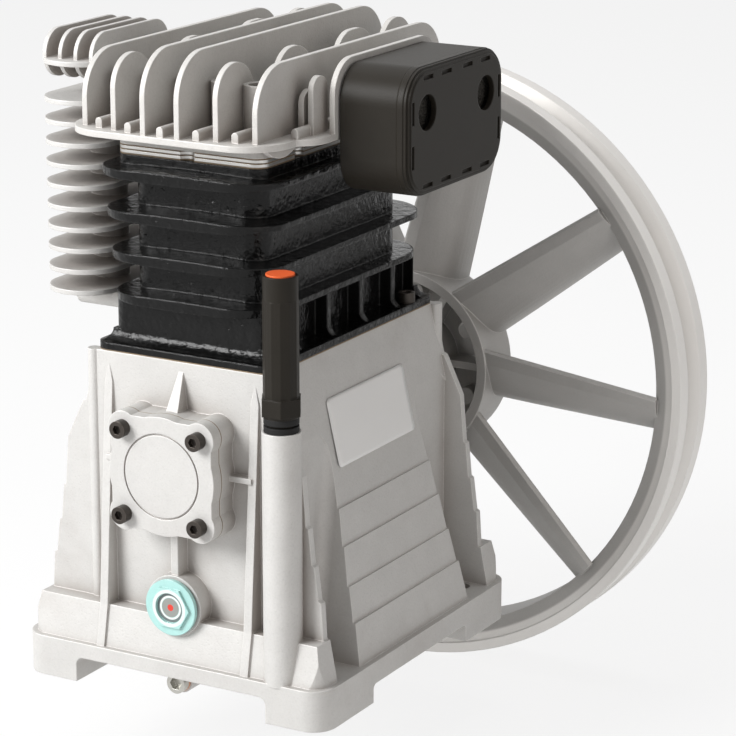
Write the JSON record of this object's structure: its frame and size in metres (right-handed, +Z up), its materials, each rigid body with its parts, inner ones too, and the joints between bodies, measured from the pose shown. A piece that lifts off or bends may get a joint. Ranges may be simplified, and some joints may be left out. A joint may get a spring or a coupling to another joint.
{
  "type": "air compressor pump head",
  "caption": "Belt-driven twin-cylinder air compressor pump: ribbed crankcase, finned block and head, plate cooler, intake filter and a fan-bladed flywheel.",
  "frame": {"origin": "centre of the four foot bolts, on the plane the feet stand on", "axes": "+Z up along the cylinders, -Y towards the bearing cover and sight glass, +Y towards the flywheel, +X towards the air filter"},
  "size_m": [0.3848, 0.3274, 0.4287],
  "materials": {
    "cast_aluminium": "shot-blasted casting",
    "head_aluminium": "bare casting",
    "wheel_aluminium": "bare casting, rim turned",
    "black_cast_iron": "glossy black paint over a rough casting",
    "gasket_paper": "brown gasket sheet",
    "ground_steel": "ground",
    "spring_steel": "polished strip",
    "black_steel": "black oxide",
    "zinc_steel": "zinc plated",
    "forged_steel": "forged, journals ground",
    "rod_aluminium": "machined",
    "black_rubber": "matt",
    "copper_washer": "soft copper",
    "sight_clear": "clear teal moulding",
    "red_plastic": "smooth",
    "orange_plastic": "smooth",
    "black_plastic": "fine grain moulding",
    "filter_foam": "open-cell foam"
  },
  "bodies": {
    "pump": {"crankcase": "cast_aluminium", "case_gasket": "gasket_paper", "cylinder_block": "black_cast_iron", "block_screws": "black_steel", "lower_gasket": "gasket_paper", "suction_reeds": "spring_steel", "lower_valve_plate": "ground_steel", "plate_gasket": "gasket_paper", "upper_valve_plate": "ground_steel", "discharge_reeds": "spring_steel", "valve_stops": "spring_steel", "head_gasket": "gasket_paper", "cylinder_head": "head_aluminium", "head_screws": "black_steel", "cover_gasket": "gasket_paper", "front_cover": "cast_aluminium", "cover_screws": "black_steel", "front_bearing": "ground_steel", "carrier_gasket": "gasket_paper", "rear_carrier": "cast_aluminium", "carrier_screws": "black_steel", "rear_bearing": "ground_steel", "shaft_seal": "black_rubber", "sight_seal": "black_rubber", "sight_target": "red_plastic", "sight_glass": "sight_clear", "drain_washer": "copper_washer", "drain_plug": "zinc_steel", "cooler_gasket": "gasket_paper", "cooler": "cast_aluminium", "cooler_screws": "zinc_steel", "filter_gasket": "black_rubber", "filter_body": "black_plastic", "filter_screws": "zinc_steel", "filter_element": "filter_foam"},
    "crank": {"crankshaft": "forged_steel", "flywheel": "wheel_aluminium", "flywheel_key": "zinc_steel", "flywheel_washer": "ground_steel", "flywheel_bolt": "zinc_steel"},
    "piston_front": {"piston_1": "rod_aluminium", "piston_rings_1": "spring_steel", "gudgeon_pin_1": "ground_steel"},
    "piston_rear": {"piston_2": "rod_aluminium", "piston_rings_2": "spring_steel", "gudgeon_pin_2": "ground_steel"},
    "rod_front": {"rod_1": "rod_aluminium", "rod_cap_1": "rod_aluminium", "rod_bolts_1": "zinc_steel", "crankpin_1": "forged_steel"},
    "rod_rear": {"rod_2": "rod_aluminium", "rod_cap_2": "rod_aluminium", "rod_bolts_2": "zinc_steel", "crankpin_2": "forged_steel"},
    "filler": {"filler_tube": "black_plastic", "filler_cap": "orange_plastic", "filler_seals": "black_rubber"},
    "filter_lid": {"filter_cover": "black_plastic"}
  },
  "joints": [
    {"name": "crank_spin", "type": "hinge", "parent": "pump", "child": "crank", "pos_m": [0, 0, 0.1353], "axis": [0, 1, 0], "continuous": true},
    {"name": "piston_front_slide", "type": "slide", "parent": "pump", "child": "piston_front", "axis": [0, 0, 1], "range_m": [-0.05, 0]},
    {"name": "piston_rear_slide", "type": "slide", "parent": "pump", "child": "piston_rear", "axis": [0, 0, 1], "range_m": [0, 0.05]},
    {"name": "rod_front_swing", "type": "hinge", "parent": "piston_front", "child": "rod_front", "pos_m": [0, -0.039, 0.2784], "axis": [0, 1, 0], "range_deg": [-12.22, 12.22]},
    {"name": "rod_rear_swing", "type": "hinge", "parent": "piston_rear", "child": "rod_rear", "pos_m": [0, 0.039, 0.2284], "axis": [0, 1, 0], "range_deg": [-12.22, 12.22]},
    {"name": "filler_lift", "type": "slide", "parent": "pump", "child": "filler", "axis": [0, 0, 1], "range_m": [0, 0.03]},
    {"name": "filter_lid_pull", "type": "slide", "parent": "pump", "child": "filter_lid", "axis": [1, 0, 0], "range_m": [0, 0.03]}
  ],
  "couplings": [
    {"joint": "piston_rear_slide", "follows": "piston_front_slide", "ratio": -1},
    {"joint": "rod_rear_swing", "follows": "rod_front_swing", "ratio": -1}
  ]
}
